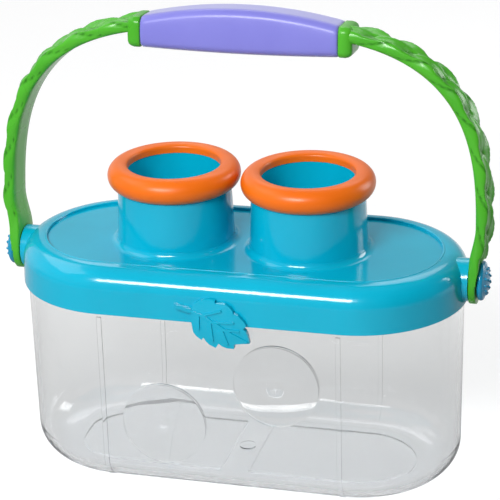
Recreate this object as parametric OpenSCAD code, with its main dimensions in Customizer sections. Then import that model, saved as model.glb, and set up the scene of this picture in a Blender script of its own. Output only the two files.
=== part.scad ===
// Bug catcher jar: a clear racetrack tub with two magnifiers moulded in its front wall,
// a lift-off lid with two eyepieces, and a carrying handle that swings on two pivots.
// Millimetres. X runs along the jar, -Y is the front, +Z is up.
// The origin is the middle of the foot, on the table.

/* [Jar outline] */
// Distance between the centres of the two round ends
end_spacing = 99.8; // [90:1:130]

/* [Tub] */
// Outer end radius of the tub at its rim
tub_r = 43.1; // [40:0.5:50]
// Height of the tub's rim above the table
tub_h = 84.5; // [78:1:110]
// Thickness of the clear wall
tub_wall = 1.6; // [1.2:0.1:2.2]
// How much narrower the tub is at the foot than at the rim
tub_draft = 0.9; // [0.3:0.1:1.5]
// Rounding between the wall and the floor
foot_round = 13.5; // [8:0.5:15]
// Thickness of the floor
floor_t = 2; // [1.6:0.1:3]
// Width of the foot ring that touches the table
foot_ring_w = 5; // [3:0.5:8]
// Depth of the hollows inside the foot ring
foot_recess = 0.8; // [0.4:0.1:1]
// Width of the web that crosses the foot ring in the middle
foot_web_w = 12; // [8:0.5:20]
// Width of the upright mould ribs where the flat walls meet the round ends
seam_rib_w = 2; // [0.8:0.1:3]
// How far those ribs stand proud
seam_rib_h = 0.45; // [0.2:0.05:0.6]
// Diameter of the gate mark in the middle of the floor
gate_d = 7; // [4:0.5:10]
// Height of the gate mark
gate_h = 0.6; // [0.3:0.1:1]

/* [Wall magnifiers] */
// Diameter of each magnifier in the front wall
magnifier_d = 35.5; // [28:0.5:38]
// Bulge of each magnifier on the outside
magnifier_out = 1.6; // [0.8:0.1:2]
// Bulge of each magnifier on the inside
magnifier_in = 1.2; // [0.6:0.1:2]
// Height of the step round each magnifier
magnifier_step = 0.5; // [0.3:0.1:0.8]
// Distance of each magnifier from the middle of the jar
magnifier_x = 24; // [19:0.5:28]
// Height of the higher magnifier, on the right
magnifier_high = 53; // [48:0.5:55]
// Height of the lower magnifier, on the left
magnifier_low = 31.3; // [30:0.5:36]

/* [Lid] */
// Thickness of the skirt that hangs over the tub
skirt_t = 1.6; // [1.2:0.1:2.5]
// How far the skirt reaches down past the tub's rim
skirt_drop = 4.9; // [4:0.1:8]
// Height of the lid's shoulder above the tub's rim
shoulder_h = 13.9; // [13:0.1:18]
// How much narrower the lid is at the shoulder than at its edge
lid_draft = 0.6; // [0:0.1:1.5]
// Rounding of the shoulder
shoulder_round = 9; // [6:0.5:10]
// Width of the seat that rests on the tub's rim
seat_w = 2.1; // [1.9:0.1:3]
// Rounding of the corner inside the lid
inner_round = 5; // [3:0.5:6]
// Thickness of the flat plate on top
plate_t = 2; // [1.6:0.1:3]
// Depth of the plate below the shoulder
plate_recess = 1; // [0.5:0.1:1.5]
// Width of the shoulder between the lid's edge and the plate
plate_inset = 10.6; // [9.8:0.1:12]

/* [Eyepieces] */
// Distance between the middles of the two eyepieces
eye_spacing = 57; // [56.4:0.1:60]
// Outer radius of each tube at its top
tube_top_r = 23.3; // [22.9:0.1:23.4]
// Outer radius of each tube at the plate
tube_foot_r = 24.7; // [24:0.1:25.3]
// Radius of each tube's bore
tube_bore_r = 19.8; // [19.4:0.1:20.2]
// Height of each tube above the plate
tube_h = 30.2; // [24:0.1:34]
// Rounding between the tube and the plate
tube_foot_round = 2.8; // [1:0.1:3]
// Width of the ledge that carries the lens
lens_ledge_w = 2.5; // [1.5:0.1:4]
// Thickness of the eyepiece lens at its edge
lens_edge_t = 2; // [1.5:0.1:3]
// Bulge of the eyepiece lens
lens_bulge = 2.4; // [1:0.1:3.5]
// Radius of the rubber ring's round section
ring_r = 5.3; // [5.2:0.05:5.6]
// How far the ring stands out past the tube
ring_out = 4.4; // [3.8:0.1:4.8]
// How far the ring's lip reaches in past the tube's bore
ring_lip = 0.4; // [0.2:0.1:0.8]
// Rounding of the lip's upper edge
ring_round = 1.2; // [0.6:0.1:1.6]
// Depth of the seat, from the ring's underside to the tube's top
ring_groove_h = 6.8; // [4:0.1:7]

/* [Leaf tab] */
// Length of the leaf from its base to its tip
leaf_l = 27; // [22:0.2:30]
// Slope of the leaf, down to the right, in degrees
leaf_slope = 27; // [15:1:40]
// Place of the leaf's base, left of the middle
leaf_base_x = 9.6; // [6:0.2:12]
// Height of the leaf's base above the lid's lower edge
leaf_base_h = 5.6; // [5:0.1:8]
// Thickness of the leaf at its thickest
leaf_t = 3.2; // [2.6:0.1:4]
// Height of the raised veins
vein_h = 0.6; // [0.3:0.1:1]
// Width of the midrib
vein_w = 1.1; // [0.6:0.1:1.6]
// Length of the stalk
stalk_l = 7.2; // [4:0.2:9]
// Thickness of the stalk
stalk_w = 1.7; // [1:0.1:2.2]

/* [Pivots] */
// Height of the pivots above the tub's rim
pivot_rise = 3.8; // [3.7:0.1:5]
// Radius of the boss at each end of the lid
boss_r = 8.9; // [7:0.1:9]
// How far each boss stands out past the lid's edge
boss_out = 1.1; // [0.6:0.1:3]
// Depth of the boss inside the lid
boss_in = 4; // [3:0.5:6]
// Radius of the pivot pin
pin_r = 2.6; // [2:0.1:2.7]
// Radius of the pivot cap's head
cap_r = 8.2; // [6:0.1:9]
// Thickness of the cap's rim
cap_rim_t = 2.6; // [2:0.1:4]
// Rise of the cap's dome
cap_dome = 1.9; // [1:0.1:3]
// Radius of the small beads on the cap
bead_r = 0.6; // [0.4:0.05:0.9]

/* [Handle] */
// How far the handle leans back as it stands, in degrees
handle_lean = 5.5; // [-20:0.5:20]
// Half the clear width inside the arch
arch_half_w = 98.3; // [97.5:0.1:108]
// Height of the arch's curved part
arch_rise = 86.6; // [80:0.1:100]
// Height of the straight part above the pivot
arch_start = 12.5; // [8:0.1:20]
// Squareness of the arch, where 2 is an ellipse
arch_power = 3.15; // [2.6:0.05:4]
// Thickness of the smooth inner band
band_t = 2.9; // [2.4:0.1:4]
// Width of the band
band_w = 14.6; // [9:0.1:17]
// Outer radius of the eye round each pivot
eye_r = 9.7; // [8.2:0.1:11]
// Height over which the arm widens to the eye
eye_blend_h = 27; // [16:1:34]
// Height over which the arm turns in to the eye
toe_h = 28; // [18:1:36]

/* [Vine relief] */
// Height of the vine's lowest leaf above the pivot
vine_start_h = 12.7; // [11:0.1:20]
// Distance between neighbouring leaves along the vine
vine_pitch = 8.2; // [7.5:0.1:12]
// Length of a vine leaf
vine_leaf_l = 20; // [12:0.5:22]
// Width of a vine leaf
vine_leaf_w = 8.4; // [5:0.1:10]
// How far the vine stands above the band
vine_h = 3; // [1:0.1:3.5]
// Slant of the leaves, left and right by turns, in degrees
vine_slant = 13; // [6:1:20]
// Sideways step of the leaves, left and right by turns
vine_step = 2.4; // [0.5:0.1:3]

/* [Grip] */
// Length of the soft grip
grip_l = 82.4; // [70:0.2:100]
// Depth of the grip from front to back
grip_w = 17.6; // [16:0.2:20]
// Height of the grip at its ends
grip_end_h = 12.8; // [11:0.1:15]
// How much the top of the grip swells in the middle
grip_crown = 4.7; // [2:0.1:6]
// How much the underside of the grip swells in the middle
grip_belly = 0.9; // [0.3:0.1:2]
// Rounding of the grip's long edges
grip_round = 3.2; // [2:0.1:4]
// Radius of the grip's bulging sides
grip_side_r = 40; // [25:1:80]
// How far the underside of the grip's ends lies below the arch
grip_sink = 8.7; // [5:0.1:10]
// Length of the collar at each end of the grip
collar_l = 5.6; // [4:0.1:8]

/* [Hidden] */
$fn = 96;

// Clearance between pieces that lift off or push in
slip = 0.1;
// Clearance of the pins in their bores
pin_fit = 0.08;
// Gap beside the handle's eyes
eye_gap = 0.3;
// Overrun of every cut
over = 1;

// Where things lie, worked out from the sizes above
half_span = end_spacing / 2;
tub_foot_r = tub_r - tub_draft;
lid_r = tub_r + slip + skirt_t;
lid_edge_z = tub_h - skirt_drop;
shoulder_z = tub_h + shoulder_h;
plate_z = shoulder_z - plate_recess;
cavity_r = tub_r + slip - seat_w;
plate_r = lid_r - plate_inset;
tube_top_z = plate_z + tube_h;
ring_mid_r = tube_top_r + ring_out - ring_r;
ring_z = tube_top_z + ring_r - ring_groove_h;
pivot_z = tub_h + pivot_rise;
boss_end_x = half_span + lid_r + boss_out;
eye_in_x = boss_end_x + eye_gap;
toe_in = arch_half_w - eye_in_x;
cap_x = eye_in_x + band_t + eye_gap;
handle_half_w = max(arch_half_w, eye_in_x) + band_t + over;
pin_end_x = half_span + cavity_r - boss_in + slip;

// Shares of the leaf's length: its toothed outline, along and across the midrib
leaf_outline_shares = [
    [-0.016, 0.03], [-0.015, 0.129], [0.057, 0.246], [0.163, 0.33], [0.245, 0.355],
    [0.262, 0.315], [0.4, 0.383], [0.49, 0.375], [0.567, 0.335], [0.57, 0.31],
    [0.64, 0.33], [0.784, 0.273], [0.835, 0.236], [0.812, 0.168], [0.87, 0.15],
    [0.923, 0.101], [1, 0], [0.9, -0.06], [0.803, -0.125], [0.832, -0.196],
    [0.736, -0.241], [0.66, -0.25], [0.597, -0.235], [0.585, -0.329], [0.476, -0.332],
    [0.41, -0.31], [0.353, -0.275], [0.343, -0.331], [0.25, -0.32], [0.177, -0.288],
    [0.079, -0.155], [0.01, -0.02]
];
// Shares of the leaf's length: the midrib's points from base to tip
midrib_shares = [[0, 0], [0.2, 0.045], [0.4, 0.04], [0.7, 0.015], [0.96, 0]];
// Shares of the leaf's length: where each side vein starts and ends
vein_shares = [
    [[0.18, 0.045], [0.4, 0.27]], [[0.37, 0.04], [0.65, 0.2]], [[0.58, 0.03], [0.78, 0.12]],
    [[0.12, 0.03], [0.24, -0.2]], [[0.32, 0.045], [0.5, -0.24]], [[0.52, 0.03], [0.72, -0.17]]
];
// How deep the veins sink into the leaf, as a share of its thickness
vein_root_share = 0.5;
// Width of a side vein as a share of the midrib's width
side_vein_share = 0.75;
// Thickness of the leaf at its edge as a share of its full thickness
leaf_edge_share = 0.55;

// Points in the straight and in the curved part of each arm
straight_steps = 6;
arch_steps = 34;
// Vine leaves on each arm
vine_count = 16;
// How deep the vine leaves root in the band, as a share of its thickness
vine_root_share = 0.75;
// Beads in each circle on a cap, and the circles' radii as shares of the cap's
bead_counts = [12, 6];
bead_circle_shares = [0.64, 0.34];

// Radius of the circle through the ends and the top of an arc of this width and rise
function arc_radius(width, rise) = (width * width / 4 + rise * rise) / (2 * rise);

// Eases from 0 to 1
function ease(s) = s <= 0 ? 0 : s >= 1 ? 1 : s * s * (3 - 2 * s);

// A point of the arch, at this angle up from its level start, this far outside its inner face
function arch_point(angle, grow) =
    let (
        a = arch_half_w + grow,
        b = arch_rise + grow,
        r = pow(pow(abs(cos(angle)) / a, arch_power) + pow(abs(sin(angle)) / b, arch_power),
            -1 / arch_power)
    )
    [r * cos(angle), arch_start + r * sin(angle)];

// Turns the foot of the arm in towards the boss, straight as far up as the cap reaches
function toed(p) = [p[0] - toe_in * (1 - ease((p[1] - cap_r) / (toe_h - cap_r))), p[1]];

// Points of the right arm from below the pivot to the top of the arch
function arm_points(grow) = [
    for (k = [0:straight_steps - 1])
        toed([arch_half_w + grow, -eye_r - over + (arch_start + eye_r + over) * k / straight_steps]),
    for (k = [0:arch_steps])
        toed(arch_point(90 * k / arch_steps, grow))
];

function flipped(points) = [for (k = [len(points) - 1:-1:0]) [-points[k][0], points[k][1]]];
function backward(points) = [for (k = [len(points) - 1:-1:0]) points[k]];

// The place and the slope at this distance along a row of points
function along(points, s, k = 1) =
    let (step = norm(points[k] - points[k - 1]))
    s <= step || k == len(points) - 1
        ? [points[k - 1] + (points[k] - points[k - 1]) * s / step,
            atan2(points[k][1] - points[k - 1][1], points[k][0] - points[k - 1][0])]
        : along(points, s - step, k + 1);

// Half section of a cup that widens upward and has a rounded lower corner
module cup_section(r_low, r_high, height, corner) {
    r_bend = r_low + (r_high - r_low) * corner / height;
    difference() {
        polygon([[0, 0], [r_low, 0], [r_high, height], [0, height]]);
        translate([r_bend - corner, -over])
            difference() {
                square([corner + tub_draft + over, corner + over]);
                translate([0, corner + over])
                    circle(corner);
            }
    }
}

// The same section upside down, hanging from this height
module dome_section(r_top, r_edge, height, corner) {
    mirror([0, 1])
        cup_section(r_top, r_edge, height, corner);
}

// A solid with two round ends and straight walls between them, from a half section
module racetrack() {
    for (side = [-1, 1])
        translate([side * half_span, 0, 0])
            rotate([0, 0, -90 * side])
                rotate_extrude(angle = 180)
                    children();
    rotate([90, 0, 90])
        linear_extrude(end_spacing, center = true) {
            children();
            mirror([1, 0])
                children();
        }
}

module tub_section() {
    cup_section(tub_foot_r, tub_r, tub_h, foot_round);
}

// Thin upright ribs at the four places where flat and round walls meet
module seam_ribs() {
    for (side = [-1, 1])
        translate([side * half_span, 0, 0])
            rotate([90, 0, 90])
                linear_extrude(seam_rib_w, center = true)
                    intersection() {
                        for (face = [0, 1])
                            mirror([face, 0])
                                translate([seam_rib_h, 0])
                                    tub_section();
                        translate([-tub_r - over, 0])
                            square([2 * (tub_r + over), lid_edge_z - seam_rib_w]);
                    }
}

// A shallow round lens cap with a stepped edge, growing along +Z from its seat
module lens_cap(d, bulge, step, root) {
    r = arc_radius(d, bulge - step);
    intersection() {
        translate([0, 0, -root])
            cylinder(d = d, h = bulge + root);
        translate([0, 0, bulge - r])
            sphere(r, $fn = 360);
    }
}

// Both magnifiers, on the outer or the inner face of the front wall
module wall_magnifiers() {
    for (place = [[-magnifier_x, magnifier_low], [magnifier_x, magnifier_high]]) {
        wall_y = tub_foot_r + tub_draft * place[1] / tub_h;
        translate([place[0], -wall_y, place[1]])
            rotate([90, 0, 0])
                lens_cap(magnifier_d, magnifier_out, magnifier_step, tub_wall / 2);
        translate([place[0], tub_wall - wall_y, place[1]])
            rotate([-90, 0, 0])
                lens_cap(magnifier_d, magnifier_in, magnifier_step, tub_wall / 2);
    }
}

module tub() {
    foot_flat_r = tub_foot_r - foot_round;
    color([0.88, 0.9, 0.92, 0.4]) {
        difference() {
            union() {
                racetrack()
                    tub_section();
                seam_ribs();
            }
            translate([0, 0, floor_t])
                racetrack()
                    cup_section(tub_foot_r - tub_wall, tub_r - tub_wall, tub_h - floor_t + over,
                        foot_round - tub_wall);
            difference() {
                translate([0, 0, -over])
                    racetrack()
                        square([foot_flat_r - foot_ring_w, foot_recess + over]);
                translate([-foot_web_w / 2, -tub_r, -2 * over])
                    cube([foot_web_w, 2 * tub_r, foot_recess + 3 * over]);
            }
        }
        wall_magnifiers();
        translate([0, 0, floor_t - slip])
            cylinder(d = gate_d, h = gate_h + slip);
    }
}

// A straight ridge between two points of the leaf, standing on its face
module ridge(from, to, width, height) {
    run = norm(to - from);
    translate([from[0], from[1], 0])
        rotate([0, 0, atan2(to[1] - from[1], to[0] - from[0])])
            translate([0, -width / 2, 0])
                cube([run, width, height]);
}

// The leaf on the front of the lid, which is also the tab that lifts it
module leaf_tab() {
    edge_t = leaf_t * leaf_edge_share;
    dome_r = arc_radius(leaf_l, leaf_t - edge_t);
    root = leaf_t * vein_root_share;
    translate([-leaf_base_x, -lid_r + lid_draft, lid_edge_z + leaf_base_h])
        rotate([90, 0, 0])
            rotate([0, 0, -leaf_slope]) {
                intersection() {
                    linear_extrude(leaf_t)
                        polygon(leaf_outline_shares * leaf_l);
                    translate([leaf_l / 2, 0, leaf_t - dome_r])
                        sphere(dome_r);
                }
                intersection() {
                    union() {
                        for (k = [1:len(midrib_shares) - 1])
                            ridge(midrib_shares[k - 1] * leaf_l, midrib_shares[k] * leaf_l,
                                vein_w, leaf_t + vein_h);
                        for (vein = vein_shares)
                            ridge(vein[0] * leaf_l, vein[1] * leaf_l,
                                vein_w * side_vein_share, leaf_t + vein_h);
                    }
                    translate([leaf_l / 2, 0, leaf_t + vein_h - dome_r])
                        sphere(dome_r);
                }
                rotate([0, 0, 180 + leaf_slope / 2])
                    translate([0, -stalk_w / 2, 0])
                        cube([stalk_l, stalk_w, root + stalk_w / 2]);
            }
}

// One eyepiece tube with its flared foot
module tube_body(x) {
    translate([x, 0, plate_z - slip]) {
        cylinder(r1 = tube_foot_r, r2 = tube_top_r, h = tube_h + slip);
        rotate_extrude()
            difference() {
                square([tube_foot_r + tube_foot_round, tube_foot_round + slip]);
                translate([tube_foot_r + tube_foot_round, tube_foot_round + slip])
                    circle(tube_foot_round);
            }
    }
}

module tube_bore(x) {
    translate([x, 0, plate_z])
        cylinder(r = tube_bore_r, h = tube_h + over);
    translate([x, 0, plate_z - plate_t - over])
        cylinder(r = tube_bore_r - lens_ledge_w, h = plate_t + 2 * over);
}

// A round bar along X from one distance to another, on this side of the jar
module side_bar(side, r, x_from, x_to) {
    translate([side * x_from, 0, pivot_z])
        rotate([0, 90 * side, 0])
            cylinder(r = r, h = x_to - x_from);
}

module lid() {
    color([0.16, 0.71, 0.85])
        difference() {
            union() {
                difference() {
                    union() {
                        translate([0, 0, shoulder_z])
                            racetrack()
                                dome_section(lid_r - lid_draft, lid_r,
                                    shoulder_z - lid_edge_z, shoulder_round);
                        for (side = [-1, 1])
                            side_bar(side, boss_r, half_span + plate_r, boss_end_x);
                    }
                    translate([0, 0, lid_edge_z - over])
                        racetrack()
                            square([tub_r + slip, skirt_drop + over]);
                    translate([0, 0, plate_z - plate_t])
                        racetrack()
                            dome_section(cavity_r, cavity_r,
                                plate_z - plate_t - lid_edge_z + boss_r, inner_round);
                    translate([0, 0, plate_z])
                        racetrack()
                            square([plate_r, plate_recess + boss_r]);
                }
                for (side = [-1, 1]) {
                    tube_body(side * eye_spacing / 2);
                    side_bar(side, pin_r + skirt_t, pin_end_x - slip, half_span + cavity_r + slip);
                }
                leaf_tab();
            }
            for (side = [-1, 1]) {
                tube_bore(side * eye_spacing / 2);
                side_bar(side, pin_r + pin_fit, pin_end_x - slip - over, boss_end_x + over);
            }
        }
}

// The clear lens that closes each eyepiece and rests on the ledge in its tube
module eyepiece_lens(side) {
    color([0.85, 0.93, 0.96, 0.4])
        translate([side * eye_spacing / 2, 0, plate_z + lens_edge_t])
            lens_cap(2 * (tube_bore_r - slip), lens_bulge, 0, lens_edge_t);
}

// Round section of the ring, cut upright at its lip, with the lip's upper edge rounded
module ring_section() {
    cut = ring_mid_r - tube_bore_r + ring_lip;
    bend = [ring_round - cut, sqrt(pow(ring_r - ring_round, 2) - pow(cut - ring_round, 2))];
    intersection() {
        circle(ring_r);
        union() {
            translate([-cut, -ring_r])
                square([cut + ring_r, ring_r + bend[1]]);
            polygon([[0, 0], 2 * bend, [2 * ring_r, 2 * bend[1]], [2 * ring_r, 0]]);
            translate(bend)
                circle(ring_round);
        }
    }
}

// The soft ring over each tube's top, with a seat that tapers like the tube
module rim_ring(side) {
    seat_h = ring_groove_h + over;
    flare = (tube_foot_r - tube_top_r) * seat_h / tube_h;
    color([0.95, 0.47, 0.16])
        translate([side * eye_spacing / 2, 0, ring_z])
            difference() {
                rotate_extrude()
                    translate([ring_mid_r, 0])
                        ring_section();
                translate([0, 0, ring_groove_h - ring_r - seat_h])
                    cylinder(r1 = tube_top_r + flare + slip, r2 = tube_top_r + slip,
                        h = seat_h + slip);
            }
}

// The cap outside each eye of the handle, with the pin that the handle swings on
module pivot_cap(side) {
    head_h = cap_rim_t + cap_dome;
    face_r = cap_r - cap_rim_t / 2;
    dome_r = arc_radius(2 * face_r, cap_dome);
    color([0.14, 0.62, 0.76])
        translate([side * cap_x, 0, pivot_z])
            rotate([0, 90 * side, 0]) {
                rotate_extrude() {
                    square([face_r, cap_rim_t]);
                    translate([face_r, cap_rim_t / 2])
                        circle(cap_rim_t / 2);
                }
                intersection() {
                    cylinder(r = face_r, h = head_h);
                    translate([0, 0, head_h - dome_r])
                        sphere(dome_r);
                }
                for (row = [0:len(bead_counts) - 1]) {
                    row_r = cap_r * bead_circle_shares[row];
                    for (k = [0:bead_counts[row] - 1])
                        rotate([0, 0, 360 * k / bead_counts[row]])
                            translate([row_r, 0, head_h - dome_r + sqrt(dome_r * dome_r - row_r * row_r)])
                                sphere(bead_r);
                }
                translate([0, 0, head_h])
                    sphere(bead_r);
                translate([0, 0, pin_end_x - cap_x])
                    cylinder(r = pin_r, h = cap_x - pin_end_x + cap_rim_t / 2);
            }
}

// Places the handle on its pivots, leaning back
module handle_frame() {
    translate([0, 0, pivot_z])
        rotate([-handle_lean, 0, 0])
            children();
}

// The arch as a flat outline that stands in the XZ plane and is this deep
module arch_slab(from, to, depth) {
    inner = arm_points(from);
    outer = arm_points(to);
    rotate([90, 0, 0])
        linear_extrude(depth, center = true)
            polygon(concat(outer, flipped(outer), backward(flipped(inner)), backward(inner)));
}

// Half the arm's width at this height
function arm_half_w(h) = band_w / 2 + (eye_r - band_w / 2) * (1 - ease(h / eye_blend_h));

// The arms seen from the side: an eye that blends up into the band
module arm_outline() {
    steps = straight_steps * 2;
    rise = [for (k = [1:steps]) eye_blend_h * k / steps];
    top = arch_start + arch_rise + band_t + over;
    circle(eye_r);
    polygon(concat(
        [[eye_r, 0]], [for (h = rise) [arm_half_w(h), h]], [[band_w / 2, top]],
        [[-band_w / 2, top]], [for (h = backward(rise)) [-arm_half_w(h), h]], [[-eye_r, 0]]));
}

// One pointed leaf of the vine, domed so that its ends sink into the band
module vine_leaf() {
    side_r = arc_radius(vine_leaf_l, vine_leaf_w / 2);
    root = band_t * vine_root_share;
    dome_r = arc_radius(vine_leaf_l, vine_h + root);
    intersection() {
        intersection_for(face = [-1, 1])
            translate([0, face * (side_r - vine_leaf_w / 2), -root])
                cylinder(r = side_r, h = root + vine_h);
        translate([0, 0, vine_h - dome_r])
            sphere(dome_r);
    }
}

// The vine on the outer face of the right arm, from the cap's edge to the grip's end
module vine_arm() {
    points = arm_points(band_t);
    first = eye_r + over + vine_start_h;
    difference() {
        intersection() {
            translate([grip_l / 2, -band_w, 0])
                cube([arch_half_w, 2 * band_w, 2 * arch_rise]);
            union()
                for (k = [0:vine_count - 1]) {
                    turn = k % 2 == 0 ? -1 : 1;
                    spot = along(points, first + k * vine_pitch);
                    translate([spot[0][0], turn * vine_step, spot[0][1]])
                        rotate([0, -spot[1], 0])
                            rotate([180, 0, turn * vine_slant])
                                vine_leaf();
                }
        }
        rotate([0, 90, 0])
            cylinder(r = cap_r + eye_gap, h = 2 * handle_half_w + vine_h, center = true);
    }
}

// The section of the grip and its collars, with the crown at zero height and hanging down
module grip_section(drop) {
    intersection() {
        union() {
            translate([-grip_w / 2, -drop])
                square([grip_w, drop - grip_round]);
            translate([grip_round - grip_w / 2, -drop])
                square([grip_w - 2 * grip_round, drop]);
            for (side = [-1, 1])
                translate([side * (grip_w / 2 - grip_round), -grip_round])
                    circle(grip_round);
        }
        intersection_for(side = [-1, 1])
            translate([side * (grip_side_r - grip_w / 2), -grip_end_h / 2])
                circle(grip_side_r, $fn = 360);
    }
}

// A bar whose crowned face follows an arc of this width and rise, with the ends at zero height
module arched_bar(rise, drop) {
    r = arc_radius(grip_l, rise);
    sweep = 2 * asin(grip_l / 2 / r) + 4;
    translate([0, 0, rise - r])
        rotate([90, 0, 0])
            rotate([0, 0, 90 - sweep / 2])
                rotate_extrude(angle = sweep, $fn = 360)
                    translate([r, 0])
                        rotate([0, 0, -90])
                            grip_section(drop);
}

// Height of the underside of the grip's ends above the pivots
function grip_floor_h() = arch_point(90, 0)[1] - grip_sink;

module collar(side) {
    near = min(0, side);
    translate([side * grip_l / 2 + near * collar_l, 0, grip_floor_h() + grip_end_h])
        rotate([90, 0, 90])
            linear_extrude(collar_l)
                intersection() {
                    grip_section(grip_end_h);
                    translate([0, -grip_end_h])
                        mirror([0, 1])
                            grip_section(grip_end_h);
                }
}

module handle_bail() {
    color([0.36, 0.78, 0.24])
        handle_frame()
            difference() {
                union() {
                    intersection() {
                        arch_slab(0, band_t, 2 * (eye_r + over));
                        rotate([90, 0, 90])
                            linear_extrude(2 * handle_half_w, center = true)
                                arm_outline();
                    }
                    for (side = [-1, 1])
                        collar(side);
                    vine_arm();
                    rotate([0, 0, 180])
                        vine_arm();
                }
                rotate([0, 90, 0])
                    cylinder(r = pin_r + pin_fit, h = 2 * handle_half_w, center = true);
            }
}

module handle_grip() {
    color([0.58, 0.56, 0.9])
        handle_frame()
            difference() {
                intersection() {
                    translate([0, 0, grip_floor_h() + grip_end_h])
                        arched_bar(grip_crown, 2 * grip_end_h);
                    translate([0, 0, grip_floor_h()])
                        mirror([0, 0, 1])
                            arched_bar(grip_belly, 2 * grip_end_h);
                    translate([slip - grip_l / 2, -grip_w, 0])
                        cube([grip_l - 2 * slip, 2 * grip_w, 2 * arch_rise]);
                }
                arch_slab(-slip, band_t + slip, band_w + 2 * slip);
            }
}

tub();
lid();
eyepiece_lens(-1);  // eyepiece_lens_left
eyepiece_lens(1);  // eyepiece_lens_right
rim_ring(-1);  // rim_ring_left
rim_ring(1);  // rim_ring_right
pivot_cap(-1);  // pivot_cap_left
pivot_cap(1);  // pivot_cap_right
handle_bail();
handle_grip();
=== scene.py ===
import math

import bpy
from mathutils import Matrix, Vector, noise

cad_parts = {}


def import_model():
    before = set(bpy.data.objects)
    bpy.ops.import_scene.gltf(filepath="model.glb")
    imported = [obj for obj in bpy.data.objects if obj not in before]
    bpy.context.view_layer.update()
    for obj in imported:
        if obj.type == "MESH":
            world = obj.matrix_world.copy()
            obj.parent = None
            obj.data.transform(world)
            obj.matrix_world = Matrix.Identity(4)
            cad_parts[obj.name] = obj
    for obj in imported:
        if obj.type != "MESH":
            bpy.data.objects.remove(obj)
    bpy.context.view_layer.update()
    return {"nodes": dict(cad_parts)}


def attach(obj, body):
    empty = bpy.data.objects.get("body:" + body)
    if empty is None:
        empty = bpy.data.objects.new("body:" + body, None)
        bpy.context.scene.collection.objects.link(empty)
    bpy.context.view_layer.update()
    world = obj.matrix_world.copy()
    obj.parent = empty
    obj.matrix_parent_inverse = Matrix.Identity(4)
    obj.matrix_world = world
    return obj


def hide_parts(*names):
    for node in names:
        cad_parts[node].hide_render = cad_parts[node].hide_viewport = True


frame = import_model()
nodes = frame["nodes"]
scene = bpy.context.scene

# ---------------------------------------------------------------- sizes shared with the solids
# Millimetres, apart from the angles and ARCH_POWER. X runs along the jar, -Y is the front and +Z
# is up. The handle's own heights, h, count from the pivots up its lean.
MM = 0.001
HALF_SPAN = 49.9  # from the middle to the centre of either round end
LID_R = 44.8
PLATE_Z = 97.4  # top of the lid's sunk plate
PLATE_RECESS = 1.0
LIP_R = 34.5  # end radius of the plate's edge
LIP_WIRE_R = 0.5

PIVOT_Z = 88.3
LEAN = math.radians(5.5)
ARCH_HALF_W = 98.3
ARCH_RISE = 86.6
ARCH_START = 12.5  # height where the straight part ends
ARCH_POWER = 3.15  # 2 would be an ellipse
BAND_T = 2.9
BAND_W = 14.6
EYE_R = 9.7
CAP_R = 8.2
BOSS_OUT = 1.1
EYE_GAP = 0.3
EYE_BLEND = 20.0  # height over which the eye narrows to the band
TOE_H = 24.0  # height over which the arm turns in to the eye
TOE_IN = ARCH_HALF_W - (HALF_SPAN + LID_R + BOSS_OUT + EYE_GAP)

GRIP_L = 82.4
GRIP_W = 17.6
GRIP_END_H = 12.8
GRIP_CROWN = 4.7  # rise of the top's arc
GRIP_BELLY = 0.9  # drop of the underside's arc
GRIP_ROUND = 3.2
GRIP_FLOOR = ARCH_START + ARCH_RISE - 8.7
COLLAR_L = 5.6

# The vine: leaves that overlap along the arm, turned to the left and the right by turns
LEAF_COUNT = 16
FIRST_LEAF = EYE_R + 12.7  # distance from the eye's lowest point
VINE_PITCH = 8.2
VINE_LEAF_L = 20.0
VINE_LEAF_W = 8.4
VINE_H = 3.0
VINE_SLANT = math.radians(13)
VINE_STEP = 2.4  # how far each leaf lies off the arm's middle
LEAF_REACH = VINE_LEAF_L / 2
LEAF_R = (VINE_LEAF_L ** 2 / 4 + (VINE_LEAF_W / 2) ** 2) / VINE_LEAF_W
LEAF_WIDER = 0.7
LEAF_RIM = 0.9  # width of the rounded rim
RIB_W = 0.55
VINE_CAP_GAP = 0.4  # bare ring round the cap
VINE_EDGE = 1.7  # leaves keep their height from here out to the band's edge

ARM_STEPS = 260
FACE_STEPS = 26
FACE_SHARE = 0.94  # share of the band's width that the vine's face takes


# ---------------------------------------------------------------- node helpers
def linear(r, g, b):
    """A colour as it looks on a screen, 0 to 255, turned into the renderer's values."""
    def one(v):
        v /= 255
        return v / 12.92 if v <= 0.04045 else ((v + 0.055) / 1.055) ** 2.4

    return (one(r), one(g), one(b), 1)


def add_node(tree, kind, **values):
    node = tree.nodes.new(kind)
    for key, value in values.items():
        setattr(node, key, value)
    return node


def feed(tree, value, socket):
    """Links another node's output to a socket, or sets a plain value."""
    if isinstance(value, bpy.types.NodeSocket):
        tree.links.new(value, socket)
    else:
        socket.default_value = value


def calculate(tree, operation, *values):
    node = add_node(tree, "ShaderNodeMath", operation=operation)
    for value, socket in zip(values, node.inputs):
        feed(tree, value, socket)
    return node.outputs[0]


def map_range(tree, value, low, high, start, end):
    """Turns start..end into low..high, and holds both ends."""
    node = add_node(tree, "ShaderNodeMapRange")
    for name, number in (("From Min", start), ("From Max", end),
                         ("To Min", low), ("To Max", high)):
        node.inputs[name].default_value = number
    tree.links.new(value, node.inputs["Value"])
    return node.outputs[0]


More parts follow.
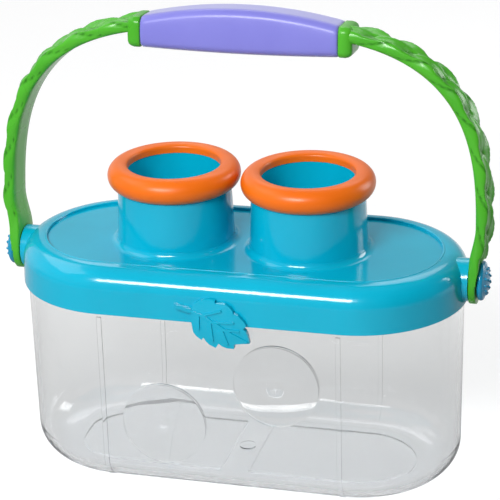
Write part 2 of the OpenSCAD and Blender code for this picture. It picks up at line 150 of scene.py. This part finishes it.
class Mat:
    """A small builder for one node material."""

    def __init__(self, name):
        self.mat = bpy.data.materials.new(name)
        self.mat.use_nodes = True
        self.tree = self.mat.node_tree
        self.tree.nodes.clear()
        self.out = self.new("ShaderNodeOutputMaterial")
        self.bsdf = self.new("ShaderNodeBsdfPrincipled")
        self.link(self.bsdf.outputs[0], self.out.inputs["Surface"])
        self.coord = self.new("ShaderNodeTexCoord").outputs["Object"]

    def new(self, kind, **values):
        return add_node(self.tree, kind, **values)

    def link(self, a, b):
        self.tree.links.new(a, b)

    def set(self, **values):
        """Sets constants of the surface, such as Coat_Weight=0.1."""
        for name, value in values.items():
            self.bsdf.inputs[name.replace("_", " ")].default_value = value

    def noise(self, scale, detail=3, rough=0.5, stretch=None):
        node = self.new("ShaderNodeTexNoise")
        node.inputs["Scale"].default_value = scale
        node.inputs["Detail"].default_value = detail
        node.inputs["Roughness"].default_value = rough
        where = self.coord
        if stretch:
            mapping = self.new("ShaderNodeMapping")
            mapping.inputs["Scale"].default_value = stretch
            self.link(where, mapping.inputs["Vector"])
            where = mapping.outputs[0]
        self.link(where, node.inputs["Vector"])
        return node.outputs["Fac"]

    def ramp(self, fac, low, high):
        """A colour between two stops, each given as (place, colour)."""
        node = self.new("ShaderNodeValToRGB")
        for element, (place, colour) in zip(node.color_ramp.elements, (low, high)):
            element.position = place
            element.color = colour
        self.link(fac, node.inputs[0])
        return node.outputs[0]

    def span(self, fac, low, high, start, end):
        return map_range(self.tree, fac, low, high, start, end)

    def calc(self, operation, *values):
        return calculate(self.tree, operation, *values)

    def split(self, vector):
        node = self.new("ShaderNodeSeparateXYZ")
        self.link(vector, node.inputs[0])
        return node.outputs

    def bump(self, height, strength, distance, normal=None):
        node = self.new("ShaderNodeBump")
        node.inputs["Strength"].default_value = strength
        node.inputs["Distance"].default_value = distance
        self.link(height, node.inputs["Height"])
        if normal:
            self.link(normal, node.inputs["Normal"])
        return node.outputs[0]


# ---------------------------------------------------------------- materials
def plastic(name, colour, shade, rough, coat, texture=900, depth=0.00002, grain=0.35):
    """Moulded plastic: slight flow marks in the colour, uneven gloss and a faint orange peel."""
    m = Mat(name)
    flow = m.noise(28, 4, 0.55, (1, 1, 0.45))
    fine = m.noise(texture, 2, 0.5)
    gloss = m.span(m.noise(60, 3), *rough, 0.3, 0.7)
    m.link(m.ramp(flow, (0.3, shade), (0.7, colour)), m.bsdf.inputs["Base Color"])
    m.link(gloss, m.bsdf.inputs["Roughness"])
    m.link(m.bump(fine, grain, depth, m.bump(m.noise(45, 2), 0.25, 0.0001)),
           m.bsdf.inputs["Normal"])
    m.set(Coat_Weight=coat, Coat_Roughness=0.08, IOR=1.5)
    return m


def clear(name, tint, tint_low):
    """Clear moulded plastic, faintly wavy. The hollows under its foot are frosted, and their
    upright steps most. Light passes straight through it to its shadow."""
    m = Mat(name)
    height = m.split(m.coord)["Z"]
    steep = m.calc("ABSOLUTE", m.split(m.coord.node.outputs["Normal"])["Z"])
    frost = m.calc("MULTIPLY", m.span(steep, 0.9, 0.11, 0.3, 0.7),
                   m.span(height, 1, 0, 0.001, 0.0013))
    gloss = m.span(m.noise(40, 3), 0.0, 0.02, 0.35, 0.65)
    # The base colour is darker towards the bottom, blending into the plain tint between 4 and 30
    # mm up.
    m.link(m.ramp(m.span(height, 0, 1, 0.004, 0.03), (0, tint_low), (1, tint)),
           m.bsdf.inputs["Base Color"])
    m.link(m.calc("ADD", gloss, frost), m.bsdf.inputs["Roughness"])
    m.link(m.bump(m.noise(22, 2, 0.4, (1, 1, 0.5)), 0.3, 0.0002), m.bsdf.inputs["Normal"])
    m.set(Transmission_Weight=1, IOR=1.47)
    through = m.new("ShaderNodeBsdfTransparent")
    through.inputs["Color"].default_value = (0.9, 0.91, 0.92, 1)
    mixer = m.new("ShaderNodeMixShader")
    m.link(m.new("ShaderNodeLightPath").outputs["Is Shadow Ray"], mixer.inputs[0])
    m.link(m.bsdf.outputs[0], mixer.inputs[1])
    m.link(through.outputs[0], mixer.inputs[2])
    m.link(mixer.outputs[0], m.out.inputs["Surface"])
    return m


def shade_grooves(m):
    """Darkens the hollows between the vine's leaves, where light hardly reaches."""
    colour = m.bsdf.inputs["Base Color"]
    relief = m.new("ShaderNodeAttribute", attribute_name="relief").outputs["Fac"]
    # Painted shade: low groove values darken the base colour towards a deep green between the
    # leaves.
    dark = m.ramp(relief, (0.0, linear(32, 112, 22)), (0.65, (1, 1, 1, 1)))
    node = m.new("ShaderNodeMix", data_type="RGBA", blend_type="MULTIPLY")
    node.inputs[0].default_value = 1.0
    m.link(colour.links[0].from_socket, node.inputs[6])
    m.link(dark, node.inputs[7])
    m.link(node.outputs[2], colour)


lid_blue = plastic("lid_plastic", linear(4, 176, 207), linear(2, 168, 199), (0.1, 0.17), 0.05)
cap_blue = plastic("cap_plastic", linear(26, 152, 192), linear(18, 138, 180), (0.16, 0.26), 0.1)
orange = plastic("ring_rubber", linear(240, 116, 18), linear(232, 105, 14), (0.3, 0.4), 0.0,
                 texture=1500, depth=0.00003, grain=0.5)
orange.set(Specular_IOR_Level=0.35)
lavender = plastic("grip_plastic", linear(130, 129, 214), linear(123, 121, 208), (0.3, 0.4), 0.0,
                   texture=2200, depth=0.00004, grain=0.6)
lavender.set(Sheen_Weight=0.7, Sheen_Roughness=0.35)
green = plastic("vine_plastic", linear(84, 182, 46), linear(66, 164, 36), (0.24, 0.34), 0.1,
                grain=0.1)
green.set(Specular_IOR_Level=0.3)
shade_grooves(green)
tub_clear = clear("tub_plastic", (0.93, 0.935, 0.935, 1), (0.88, 0.885, 0.89, 1))
lens_clear = clear("lens_plastic", (0.97, 0.985, 0.99, 1), (0.97, 0.985, 0.99, 1))

for node_name, material in (
    ("tub", tub_clear), ("lid", lid_blue),
    ("eyepiece_lens_left", lens_clear), ("eyepiece_lens_right", lens_clear),
    ("rim_ring_left", orange), ("rim_ring_right", orange),
    ("pivot_cap_left", cap_blue), ("pivot_cap_right", cap_blue),
):
    nodes[node_name].data.materials.clear()
    nodes[node_name].data.materials.append(material.mat)


# ---------------------------------------------------------------- mesh helpers
def ease(s):
    """0 to 1 with a soft start and end."""
    s = min(max(s, 0.0), 1.0)
    return s * s * (3 - 2 * s)


def handle_place(x, y, h):
    """A point of the handle, given across, along its depth and up the arch, in metres."""
    return Vector((x, y * math.cos(LEAN) + h * math.sin(LEAN),
                   PIVOT_Z + h * math.cos(LEAN) - y * math.sin(LEAN))) * MM


def loft(name, rings, material, body, closed_ends=True, relief=None):
    """A smooth skin over rings of points that all have the same count."""
    count = len(rings[0])
    faces = []
    for start in range(0, (len(rings) - 1) * count, count):
        for j in range(count):
            a, b = start + j, start + (j + 1) % count
            faces.append((a, b, b + count, a + count))
    if closed_ends:
        last = (len(rings) - 1) * count
        faces.append(tuple(reversed(range(count))))
        faces.append(tuple(range(last, last + count)))
    mesh = bpy.data.meshes.new(name)
    mesh.from_pydata([p for ring in rings for p in ring], [], faces)
    mesh.validate()
    for poly in mesh.polygons:
        poly.use_smooth = True
    # One value per point, which the vine material turns into painted shade in the grooves.
    if relief:
        layer = mesh.attributes.new("relief", "FLOAT", "POINT")
        layer.data.foreach_set("value", relief)
    mesh.update()
    mesh.materials.append(material.mat)
    obj = bpy.data.objects.new(name, mesh)
    scene.collection.objects.link(obj)
    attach(obj, body)
    return obj


# ---------------------------------------------------------------- the arch and its vine
def arch_point(angle, grow):
    """A point of the arch's curve, moved out by grow."""
    a, b = ARCH_HALF_W + grow, ARCH_RISE + grow
    c, s = math.cos(angle), math.sin(angle)
    r = (abs(c / a) ** ARCH_POWER + abs(s / b) ** ARCH_POWER) ** (-1 / ARCH_POWER)
    return r * c, ARCH_START + r * s


def toed(x, h):
    """Turns the arm in to its eye, which begins above the cap."""
    return Vector((x - TOE_IN * (1 - ease((h - CAP_R) / (TOE_H - CAP_R))), h))


def arm_at(t, grow):
    """The right arm: t from -1 (lowest point of the eye) over 0 (start of the arch) to 1 (top)."""
    if t <= 0:
        return toed(ARCH_HALF_W + grow, ARCH_START + t * (ARCH_START + EYE_R))
    return toed(*arch_point(t * math.pi / 2, grow))


def half_width(h):
    """Half the band's width: the eye's circle below the pivot, then a blend to the band."""
    if h < 0:
        return math.sqrt(max(EYE_R ** 2 - h * h, 0.04))
    return BAND_W / 2 + (EYE_R - BAND_W / 2) * (1 - ease(h / EYE_BLEND))


def leaf_height(s, y, k):
    """Height of vine leaf k at this distance along the arm and across it, as a share."""
    turn = -1 if k % 2 == 0 else 1
    ds, dy = s - (FIRST_LEAF + k * VINE_PITCH), y - turn * VINE_STEP
    c, n = math.cos(turn * VINE_SLANT), math.sin(turn * VINE_SLANT)
    u, w = ds * c + dy * n, dy * c - ds * n
    if abs(u) >= LEAF_REACH:
        return 0.0
    side = math.sqrt(LEAF_R ** 2 - u * u) - (LEAF_R - VINE_LEAF_W / 2) + LEAF_WIDER
    if abs(w) >= side:
        return 0.0
    across, along = abs(w) / side, (u / LEAF_REACH) ** 2
    dome = (1 - 0.55 * across ** 1.25) * (1 - along * 0.85)
    tip_lift = 0.14 * u / LEAF_REACH
    rim = ease((1 - across) * side / LEAF_RIM)
    rib = 0.16 * math.exp(-((w / RIB_W) ** 2)) * (1 - along)
    return max(0.0, (dome + tip_lift) * rim + rib)


def vine_height(s, y):
    """Height of the whole vine: the highest leaf at this place, and a little of those under it."""
    first = int((s - FIRST_LEAF - LEAF_REACH) / VINE_PITCH)
    total = 0.0
    for k in range(max(first, 0), min(first + 5, LEAF_COUNT)):
        h = leaf_height(s, y, k)
        total = max(total, h) + 0.08 * min(total, h)
    wave = noise.noise(Vector((s * 0.16, y * 0.35, 3.1)))
    return total * (1 + 0.12 * wave)


def edge_leaf(s, side):
    """How far the leaves of this side swell over the band's edge at this distance: 0 to 1."""
    for k in range(LEAF_COUNT):
        u = (s - FIRST_LEAF - k * VINE_PITCH) / VINE_PITCH
        if abs(u) < 1 and (side < 0) == (k % 2 == 0):
            return (1 - u * u) * (1 - 0.25 * u)
    return 0.0


def band_section():
    """The band's outline, as pairs of shares of its half width and of its thickness."""
    inside = [(share, 0.0) for share in (-0.92, -0.46, 0.0, 0.46, 0.92)]
    edge = [(0.985, 0.1), (1.0, 0.35), (1.0, 0.6), (1.0, 0.8), (0.985, 0.94)]
    face = [(FACE_SHARE - 2 * FACE_SHARE * i / FACE_STEPS, 1.0) for i in range(FACE_STEPS + 1)]
    return inside + edge + face + [(-y, depth) for y, depth in reversed(edge)]


def build_bail():
    """Both arms in one skin, from the right eye over the top to the left eye."""
    ts = [-1 + 2 * i / ARM_STEPS for i in range(ARM_STEPS + 1)]
    ts = [t if t > 0 else -(abs(t) ** 0.8) for t in ts]
    inner = [arm_at(t, 0) for t in ts]
    outer = [arm_at(t, BAND_T) for t in ts]
    dist = [0.0]
    for a, b in zip(outer, outer[1:]):
        dist.append(dist[-1] + (b - a).length)
    section = band_section()

    def arm_ring(i, side):
        """The section at step i of the right (1) or left (-1) arm, and its values of painted shade
        for the grooves. The left arm is the right one turned half round, so the vine's y changes
        sign and not the band's."""
        a, b = inner[i], outer[i]
        tangent = outer[min(i + 1, ARM_STEPS)] - outer[max(i - 1, 0)]
        normal = Vector((tangent.y, -tangent.x)).normalized()
        if i == ARM_STEPS:
            normal = Vector((0, 1))
        hw = half_width(b.y if b.y < EYE_BLEND else EYE_BLEND + 1)
        by_grip = ease((b.x - GRIP_L / 2 + 1) / 3)
        ring, relief = [], []
        for frac, depth in section:
            y = frac * hw
            by_cap = ease((math.hypot(y, b.y) - CAP_R - VINE_CAP_GAP) / 2.2) * (b.y > 0)
            fade = by_grip * by_cap
            held = min(max(y, VINE_EDGE - hw), hw - VINE_EDGE)
            fill = (0.42 if y < 0 else 0.2) * ease((abs(y) - hw + 3.2) / 1.6)
            lift = fade * max(vine_height(dist[i], side * held), fill)
            p = a + (b - a) * depth + normal * (VINE_H * lift * ease((depth - 0.3) / 0.7))
            leaf = 1.0
            if abs(frac) > 0.93:
                leaf = edge_leaf(dist[i] + 15 * (depth - 0.6), side * y)
                y += math.copysign(fade * leaf * math.sin(math.pi * 0.8 * depth), y)
            ring.append(handle_place(side * p.x, y, p.y))
            # Painted shade values: the seams between leaves and the gaps between the edge leaves
            # get low values, which the vine material darkens; the bare band stays at 1.
            seam = 0.1 + min(lift, 0.9) * min(2.2 * leaf, 1)
            bare = 1 - fade * ease((depth - 0.05) / 0.3) * ease((dist[i] - FIRST_LEAF) / 4)
            relief.append(max(bare, seam if depth > 0.9 else 0.1 + 1.3 * leaf))
        return ring, relief

    rings, relief = [], []
    walk = [(i, 1) for i in range(ARM_STEPS + 1)] + [(i, -1) for i in reversed(range(ARM_STEPS))]
    for i, side in walk:
        ring, values = arm_ring(i, side)
        rings.append(ring)
        relief += values
    bail = loft("bail_vine", rings, green, "handle", relief=relief)
    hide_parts("handle_bail")


# ---------------------------------------------------------------- lip, grip and collars
def build_lip():
    """The soft lip round the lid's sunk top plate."""
    turns, sides = 96, 10
    rings = []
    for i in range(2 * turns):
        end = 1 if i < turns else -1
        a = math.pi * ((i % turns) / (turns - 1) - 0.5) + (0 if end > 0 else math.pi)
        ring = []
        for k in range(sides):
            b = 2 * math.pi * k / sides
            r = LIP_R + LIP_WIRE_R * math.cos(b)
            z = PLATE_Z + PLATE_RECESS - LIP_WIRE_R / 2 + LIP_WIRE_R * math.sin(b)
            ring.append(Vector((end * HALF_SPAN + math.cos(a) * r, math.sin(a) * r, z)) * MM)
        rings.append(ring)
    rings.append(rings[0])
    loft("plate_lip", rings, lid_blue, "lid", closed_ends=False)


def arc_rise(x, width, rise):
    """Height at x of an arc over this width that rises this much in the middle."""
    r = (width * width / 4 + rise * rise) / (2 * rise)
    return rise - r + math.sqrt(max(r * r - x * x, 0))


def soft_section(bottom, top, corner, bulge, inset):
    """The grip's rounded, slightly bulging rectangle, as (depth, height) pairs."""
    corner_steps, side_steps = 8, 6
    mid = (bottom + top) / 2
    tall = (top - bottom) / 2 - inset
    half = GRIP_W / 2 - inset
    corner = max(corner - inset, 0.2)

    def at(turn, degrees):
        cy, ch = ((1, 1), (-1, 1), (-1, -1), (1, -1))[turn % 4]
        a = math.radians(degrees)
        return (cy * (half - corner) + corner * math.cos(a),
                ch * (tall - corner) + corner * math.sin(a))

    points = []
    for turn in range(4):
        points += [at(turn, 90 * turn + 90 * k / corner_steps) for k in range(corner_steps + 1)]
        (y0, h0), (y1, h1) = points[-1], at(turn + 1, 90 * turn + 90)
        points += [(y0 + (y1 - y0) * k / side_steps, h0 + (h1 - h0) * k / side_steps)
                   for k in range(1, side_steps)]
    return [(y - math.copysign(bulge * (h / tall) ** 2, y), mid + h) for y, h in points]


def build_grip():
    half = GRIP_L / 2 - 0.1
    edge = [(0.0, 0.9), (0.15, 0.45), (0.45, 0.15), (0.9, 0.0)]  # how far in, and how much smaller
    xs = [(-half + e, inset) for e, inset in edge]
    xs += [(-half + 0.9 + (2 * half - 1.8) * k / 60, 0.0) for k in range(1, 60)]
    xs += [(half - e, inset) for e, inset in reversed(edge)]
    rings = []
    for x, inset in xs:
        top = GRIP_FLOOR + GRIP_END_H + arc_rise(x, GRIP_L, GRIP_CROWN)
        bottom = GRIP_FLOOR - arc_rise(x, GRIP_L, GRIP_BELLY)
        rings.append([handle_place(x, y, h)
                      for y, h in soft_section(bottom, top, GRIP_ROUND, 0.7, inset)])
    grip = loft("grip_soft", rings, lavender, "handle")
    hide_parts("handle_grip")


def build_collar(name, side):
    x0, x1 = GRIP_L / 2, GRIP_L / 2 + COLLAR_L
    near = [(0.0, 0.5), (0.12, 0.2), (0.5, 0.0)]
    far = [(2.8, 0.0), (1.5, 0.35), (0.6, 0.95), (0.15, 1.7), (0.0, 2.3)]
    xs = [(x0 + e, inset) for e, inset in near] + [(x1 - e, inset) for e, inset in far]
    bottom, top = GRIP_FLOOR - 0.05, GRIP_FLOOR + GRIP_END_H
    rings = [[handle_place(side * x, y, h)
              for y, h in soft_section(bottom, top, GRIP_ROUND - 0.4, 0.3, inset)]
             for x, inset in xs]
    # The collars get no painted groove shade: every value is 1.
    loft(name, rings, green, "handle", relief=[1.0] * sum(map(len, rings)))


# ---------------------------------------------------------------- floor, light and camera
def floor():
    """A pale sheet: white to the camera, a softer grey in gloss and through the clear pieces."""
    size, drop = 6.0, 0.0002
    mesh = bpy.data.meshes.new("floor")
    mesh.from_pydata([(-size, -size, 0), (size, -size, 0), (size, size, 0), (-size, size, 0)],
                     [], [(0, 1, 2, 3)])
    obj = bpy.data.objects.new("floor", mesh)
    scene.collection.objects.link(obj)
    obj.location.z = -drop
    m = Mat("floor_paper")
    m.link(m.ramp(m.noise(3, 2), (0.3, (0.33, 0.33, 0.33, 1)), (0.7, (0.35, 0.35, 0.35, 1))),
           m.bsdf.inputs["Base Color"])
    m.set(Roughness=0.9, Specular_IOR_Level=0.1)
    path = m.new("ShaderNodeLightPath").outputs
    behind = m.span(m.split(m.coord)["Y"], 0.03, 0.56, 0.03, 0.27)
    total = 0.0
    for ray, strength in (("Is Glossy Ray", behind), ("Is Transmission Ray", 0.31),
                          ("Is Camera Ray", 0.69)):
        total = m.calc("MULTIPLY_ADD", path[ray], strength, total)
    glow = m.new("ShaderNodeEmission")
    m.link(total, glow.inputs["Strength"])
    add = m.new("ShaderNodeAddShader")
    m.link(m.bsdf.outputs[0], add.inputs[0])
    m.link(glow.outputs[0], add.inputs[1])
    m.link(add.outputs[0], m.out.inputs["Surface"])
    mesh.materials.append(m.mat)


def world():
    """White where the camera sees it, a softer room in gloss and through the clear pieces."""
    w = bpy.data.worlds.new("studio")
    scene.world = w
    w.use_nodes = True
    tree = w.node_tree
    tree.nodes.clear()
    place = add_node(tree, "ShaderNodeSeparateXYZ")
    tree.links.new(add_node(tree, "ShaderNodeTexCoord").outputs["Generated"], place.inputs[0])
    path = add_node(tree, "ShaderNodeLightPath").outputs

    def along(axis, low, high, start, end):
        return map_range(tree, place.outputs[axis], low, high, start, end)

    def times(a, b):
        return calculate(tree, "MULTIPLY", a, b)

    def light(strength, colour=(1, 1, 1, 1)):
        node = add_node(tree, "ShaderNodeBackground")
        node.inputs["Color"].default_value = colour
        feed(tree, strength, node.inputs["Strength"])
        return node.outputs[0]

    side = along("X", 1.2, 0.15, -0.8, 0.7)
    gloss = times(times(side, along("Z", 1.0, 0.5, 0.1, 0.9)), along("Y", 0.38, 0.86, -0.3, 0.7))
    result = light(times(side, along("Z", 0.5, 0.42, 0.1, 0.9)), (0.95, 0.97, 1.0, 1))
    for ray, strength in (("Is Glossy Ray", gloss), ("Is Transmission Ray", 0.82),
                          ("Is Camera Ray", 1.0)):
        mixer = add_node(tree, "ShaderNodeMixShader")
        tree.links.new(path[ray], mixer.inputs[0])
        tree.links.new(result, mixer.inputs[1])
        tree.links.new(light(strength), mixer.inputs[2])
        result = mixer.outputs[0]
    tree.links.new(result, add_node(tree, "ShaderNodeOutputWorld").inputs[0])


def area(name, place, target, size, watts):
    data = bpy.data.lights.new(name, "AREA")
    data.shape = "RECTANGLE"
    data.size, data.size_y = size
    data.energy = watts
    obj = bpy.data.objects.new(name, data)
    scene.collection.objects.link(obj)
    obj.location = place
    obj.rotation_euler = (Vector(target) - Vector(place)).to_track_quat("-Z", "Y").to_euler()


def camera():
    """The photograph's view."""
    az, el, roll = math.radians(15.254), math.radians(22.65), math.radians(-1.555)
    target = Vector((2.90, 0.79, 93.5)) * MM
    distance = 0.8964
    back = Vector((math.sin(az) * math.cos(el), -math.cos(az) * math.cos(el), math.sin(el)))
    level_right = Vector((math.cos(az), math.sin(az), 0))
    level_up = back.cross(level_right)
    right = level_right * math.cos(roll) + level_up * math.sin(roll)
    up = level_up * math.cos(roll) - level_right * math.sin(roll)
    data = bpy.data.cameras.new("camera")
    data.sensor_width = 36
    data.lens = 154.74
    data.clip_start = 0.05
    data.clip_end = 30
    obj = bpy.data.objects.new("camera", data)
    scene.collection.objects.link(obj)
    turn = Matrix((right, up, back)).transposed().to_4x4()
    obj.matrix_world = Matrix.Translation(target + back * distance) @ turn
    scene.camera = obj


build_bail()
build_lip()
build_grip()
build_collar("collar_left", -1)
build_collar("collar_right", 1)

# the clear walls are seen through one another, and through the lenses
scene.cycles.max_bounces = 24
scene.cycles.glossy_bounces = 16
scene.cycles.transmission_bounces = 24
floor()
world()
area("key", (-0.14, -0.83, 0.68), (0, 0, 0.09), (0.48, 0.2), 9.5)
area("left", (-0.75, 0.05, 0.9), (0, 0, 0.09), (1.1, 0.5), 2.8)
area("back", (0.77, 0.62, 0.38), (0, 0, 0.1), (0.3, 0.5), 3.2)
area("high", (-0.1, 0.85, 0.95), (0, 0, 0.1), (0.9, 0.5), 3)
camera()
scene.view_settings.view_transform = "Standard"
